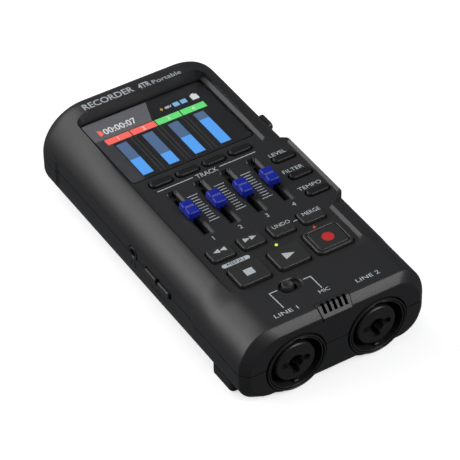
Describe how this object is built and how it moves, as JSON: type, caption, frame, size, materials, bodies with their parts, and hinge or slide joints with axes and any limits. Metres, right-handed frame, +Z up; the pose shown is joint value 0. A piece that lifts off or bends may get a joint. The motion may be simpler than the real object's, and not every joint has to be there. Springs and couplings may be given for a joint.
{
  "type": "portable field recorder",
  "caption": "Pocket multitrack audio recorder: hand-held case with a sunk display, slide faders, transport keys, combo input jacks at the front end and a battery bay underneath.",
  "frame": {"origin": "centre of the bounding box in X and Y, at the table", "axes": "+Y towards the display end, +X to the right as the user reads the display, +Z up out of the control panel"},
  "size_m": [0.0844, 0.1599, 0.0397],
  "materials": {
    "case": "matte",
    "key": "satin",
    "fader": "satin",
    "lens": "gloss",
    "display": "gloss",
    "jack_shell": "satin",
    "jack_insert": "matte",
    "metal": "satin",
    "screw": "satin",
    "board": "satin",
    "battery": "satin",
    "foot": "matte",
    "led_green": "gloss",
    "led_red": "gloss",
    "print": "matte",
    "print_red": "gloss",
    "screen_blue": "gloss",
    "screen_dim": "gloss",
    "screen_red": "gloss",
    "screen_green": "gloss",
    "screen_white": "gloss"
  },
  "bodies": {
    "case": {"upper_case": "case", "lower_case": "case", "lcd_lens": "lens", "lcd_module": "display", "record_key_frame": "case", "mic_grille": "case", "mic_capsule": "metal", "input_jack_left": "jack_shell", "input_jack_right": "jack_shell", "jack_insert_left": "jack_insert", "jack_insert_right": "jack_insert", "fader_unit_1": "metal", "fader_unit_2": "metal", "fader_unit_3": "metal", "fader_unit_4": "metal", "play_led": "led_green", "record_led": "led_red", "headphone_jack": "jack_shell", "usb_port": "metal", "card_socket": "metal", "battery_1": "battery", "battery_2": "battery", "battery_3": "battery", "battery_4": "battery", "control_board": "board", "main_board": "board", "case_screw_1": "screw", "case_screw_2": "screw", "case_screw_3": "screw", "case_screw_4": "screw", "front_foot_left": "foot", "front_foot_right": "foot", "rear_foot_left": "foot", "rear_foot_right": "foot", "input_select_switch": "metal"},
    "track_key_1": {"track_key_1": "key"},
    "track_key_2": {"track_key_2": "key"},
    "track_key_3": {"track_key_3": "key"},
    "track_key_4": {"track_key_4": "key"},
    "input_key": {"input_key": "key"},
    "effect_key": {"effect_key": "key"},
    "rhythm_key": {"rhythm_key": "key"},
    "rewind_key": {"rewind_key": "key"},
    "forward_key": {"forward_key": "key"},
    "undo_key": {"undo_key": "key"},
    "bounce_key": {"bounce_key": "key"},
    "stop_key": {"stop_key": "key"},
    "play_key": {"play_key": "key"},
    "record_key": {"record_key": "key"},
    "fader_cap_1": {"fader_cap_1": "fader"},
    "fader_cap_2": {"fader_cap_2": "fader"},
    "fader_cap_3": {"fader_cap_3": "fader"},
    "fader_cap_4": {"fader_cap_4": "fader"},
    "volume_up_key": {"volume_up_key": "key"},
    "volume_down_key": {"volume_down_key": "key"},
    "power_switch": {"power_switch": "key"},
    "input_select_knob": {"input_select_knob": "key"},
    "battery_door": {"battery_door": "case"},
    "card_slot_cover": {"card_slot_cover": "foot"}
  },
  "joints": [
    {"name": "track_key_1_press", "type": "slide", "parent": "case", "child": "track_key_1", "axis": [0, 0, -1], "range_m": [0, 0.0006], "stiffness_N_per_m": 1000},
    {"name": "track_key_2_press", "type": "slide", "parent": "case", "child": "track_key_2", "axis": [0, 0, -1], "range_m": [0, 0.0006], "stiffness_N_per_m": 1000},
    {"name": "track_key_3_press", "type": "slide", "parent": "case", "child": "track_key_3", "axis": [0, 0, -1], "range_m": [0, 0.0006], "stiffness_N_per_m": 1000},
    {"name": "track_key_4_press", "type": "slide", "parent": "case", "child": "track_key_4", "axis": [0, 0, -1], "range_m": [0, 0.0006], "stiffness_N_per_m": 1000},
    {"name": "input_key_press", "type": "slide", "parent": "case", "child": "input_key", "axis": [0, 0, -1], "range_m": [0, 0.0006], "stiffness_N_per_m": 1000},
    {"name": "effect_key_press", "type": "slide", "parent": "case", "child": "effect_key", "axis": [0, 0, -1], "range_m": [0, 0.0006], "stiffness_N_per_m": 1000},
    {"name": "rhythm_key_press", "type": "slide", "parent": "case", "child": "rhythm_key", "axis": [0, 0, -1], "range_m": [0, 0.0006], "stiffness_N_per_m": 1000},
    {"name": "rewind_key_press", "type": "slide", "parent": "case", "child": "rewind_key", "axis": [0, 0, -1], "range_m": [0, 0.0006], "stiffness_N_per_m": 1000},
    {"name": "forward_key_press", "type": "slide", "parent": "case", "child": "forward_key", "axis": [0, 0, -1], "range_m": [0, 0.0006], "stiffness_N_per_m": 1000},
    {"name": "undo_key_press", "type": "slide", "parent": "case", "child": "undo_key", "axis": [0, 0, -1], "range_m": [0, 0.0006], "stiffness_N_per_m": 1000},
    {"name": "bounce_key_press", "type": "slide", "parent": "case", "child": "bounce_key", "axis": [0, 0, -1], "range_m": [0, 0.0006], "stiffness_N_per_m": 1000},
    {"name": "stop_key_press", "type": "slide", "parent": "case", "child": "stop_key", "axis": [0, 0, -1], "range_m": [0, 0.0006], "stiffness_N_per_m": 1000},
    {"name": "play_key_press", "type": "slide", "parent": "case", "child": "play_key", "axis": [0, 0, -1], "range_m": [0, 0.0006], "stiffness_N_per_m": 1000},
    {"name": "record_key_press", "type": "slide", "parent": "case", "child": "record_key", "axis": [0, 0, -1], "range_m": [0, 0.0006], "stiffness_N_per_m": 1000},
    {"name": "fader_1_slide", "type": "slide", "parent": "case", "child": "fader_cap_1", "axis": [0, 1, 0], "range_m": [-0.009, 0.009]},
    {"name": "fader_2_slide", "type": "slide", "parent": "case", "child": "fader_cap_2", "axis": [0, 1, 0], "range_m": [-0.009, 0.009]},
    {"name": "fader_3_slide", "type": "slide", "parent": "case", "child": "fader_cap_3", "axis": [0, 1, 0], "range_m": [-0.009, 0.009]},
    {"name": "fader_4_slide", "type": "slide", "parent": "case", "child": "fader_cap_4", "axis": [0, 1, 0], "range_m": [-0.009, 0.009]},
    {"name": "volume_up_key_press", "type": "slide", "parent": "case", "child": "volume_up_key", "axis": [1, 0, 0], "range_m": [0, 0.0005], "stiffness_N_per_m": 1000},
    {"name": "volume_down_key_press", "type": "slide", "parent": "case", "child": "volume_down_key", "axis": [1, 0, 0], "range_m": [0, 0.0005], "stiffness_N_per_m": 1000},
    {"name": "power_switch_slide", "type": "slide", "parent": "case", "child": "power_switch", "axis": [0, 1, 0], "range_m": [-0.002, 0.002]},
    {"name": "input_select_slide", "type": "slide", "parent": "case", "child": "input_select_knob", "axis": [1, 0, 0], "range_m": [0, 0.0024]},
    {"name": "battery_door_hinge", "type": "hinge", "parent": "case", "child": "battery_door", "pos_m": [0, 0.0083, 0.0023], "axis": [-1, 0, 0], "range_deg": [0, 100]},
    {"name": "card_cover_hinge", "type": "hinge", "parent": "case", "child": "card_slot_cover", "pos_m": [0.0418, -0.008, 0.0107], "axis": [0, 1, 0], "range_deg": [0, 100]}
  ]
}
